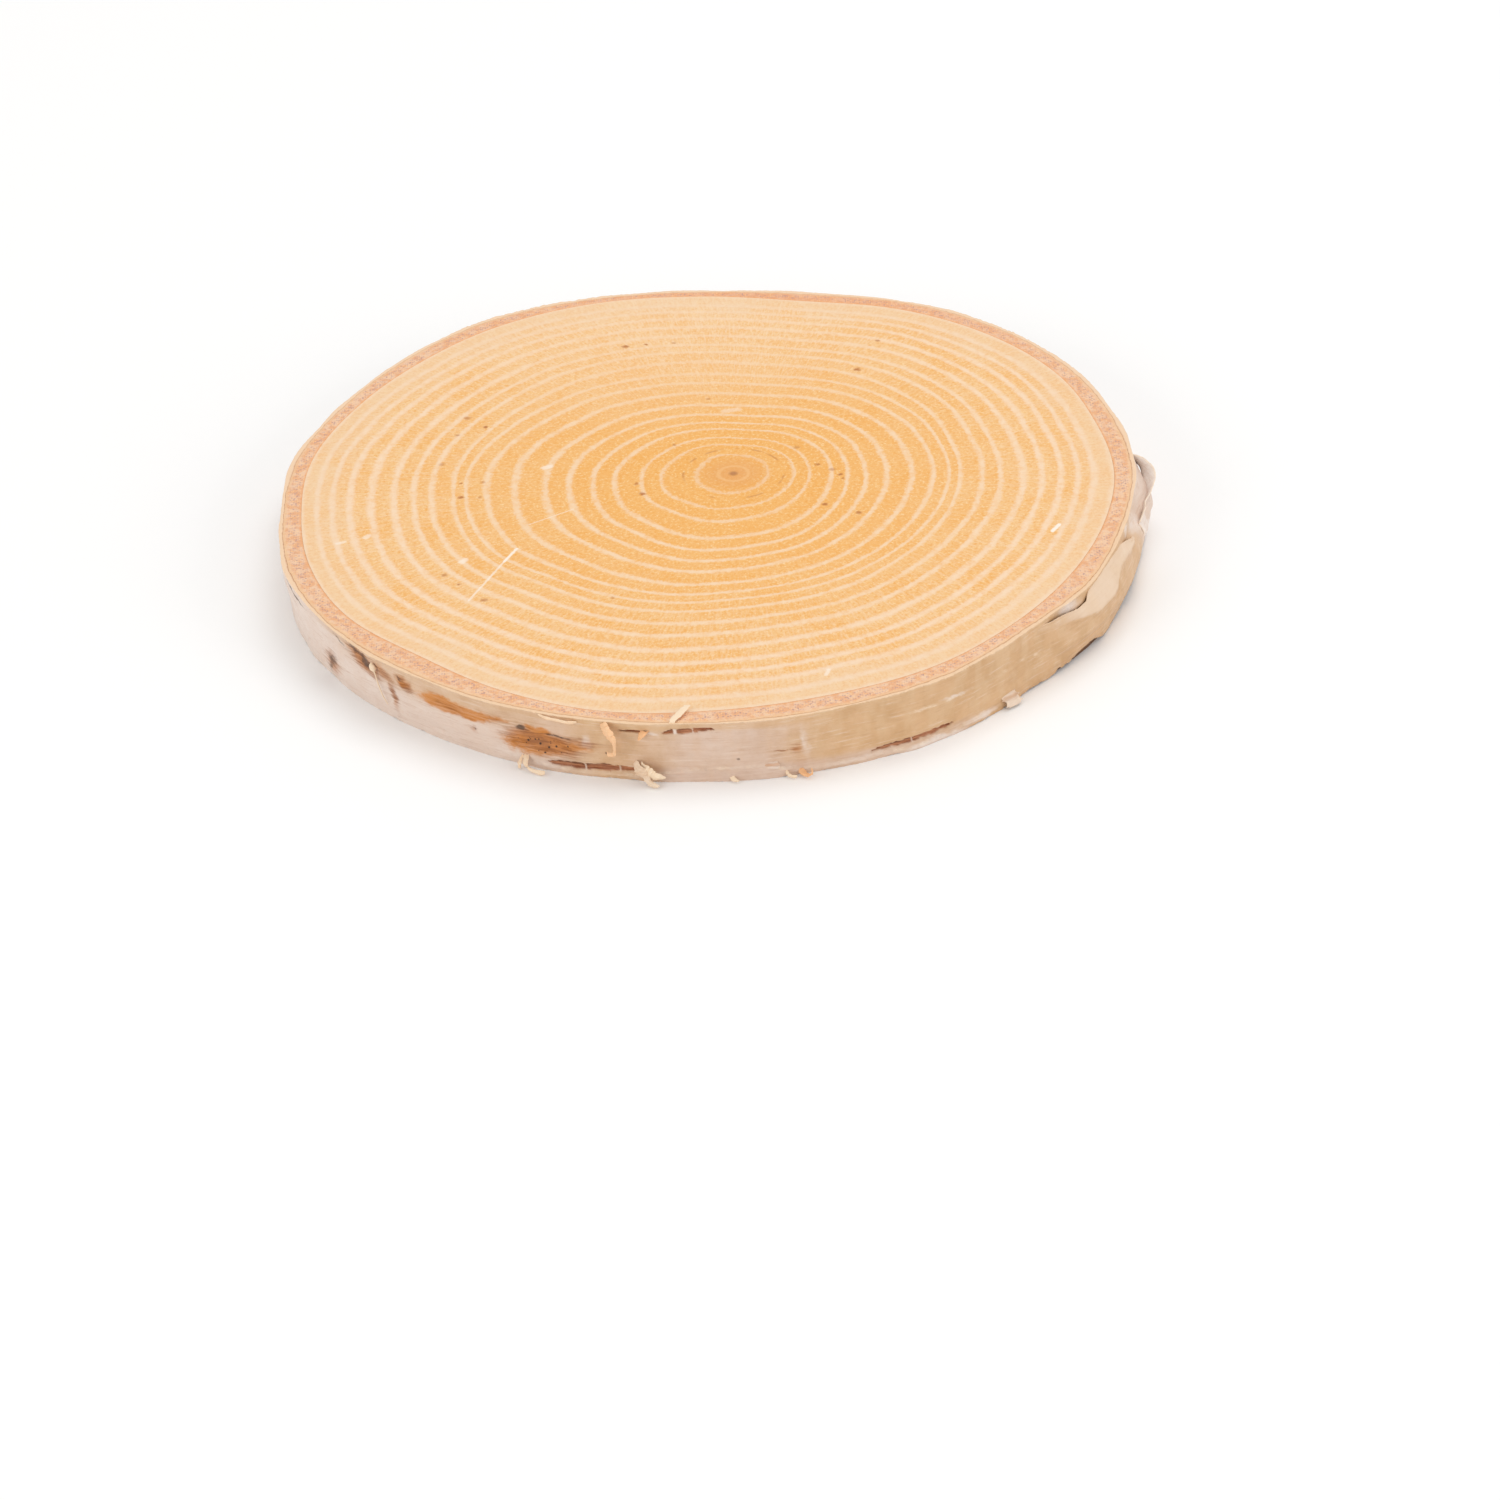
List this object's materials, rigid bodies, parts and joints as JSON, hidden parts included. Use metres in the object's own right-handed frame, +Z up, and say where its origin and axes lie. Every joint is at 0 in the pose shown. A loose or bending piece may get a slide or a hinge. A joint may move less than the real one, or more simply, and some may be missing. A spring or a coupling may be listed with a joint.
{
  "type": "birch wood slice",
  "caption": "Thin round slice sawn from a birch log with its bark on, with growth rings on the sawn faces and peeling papery bark round the edge.",
  "frame": {"origin": "middle of the slice's box, on the lower sawn face", "axes": "+Z up, out of the upper sawn face; -Y towards the side of the bark that the picture shows"},
  "size_m": [0.1282, 0.1302, 0.0105],
  "materials": {
    "wood": "dry sawn end grain, pale golden, with paler growth rings",
    "bark": "papery birch bark, white to tan, satin"
  },
  "bodies": {
    "root": {"wood": "wood", "bark": "bark"}
  },
  "joints": []
}
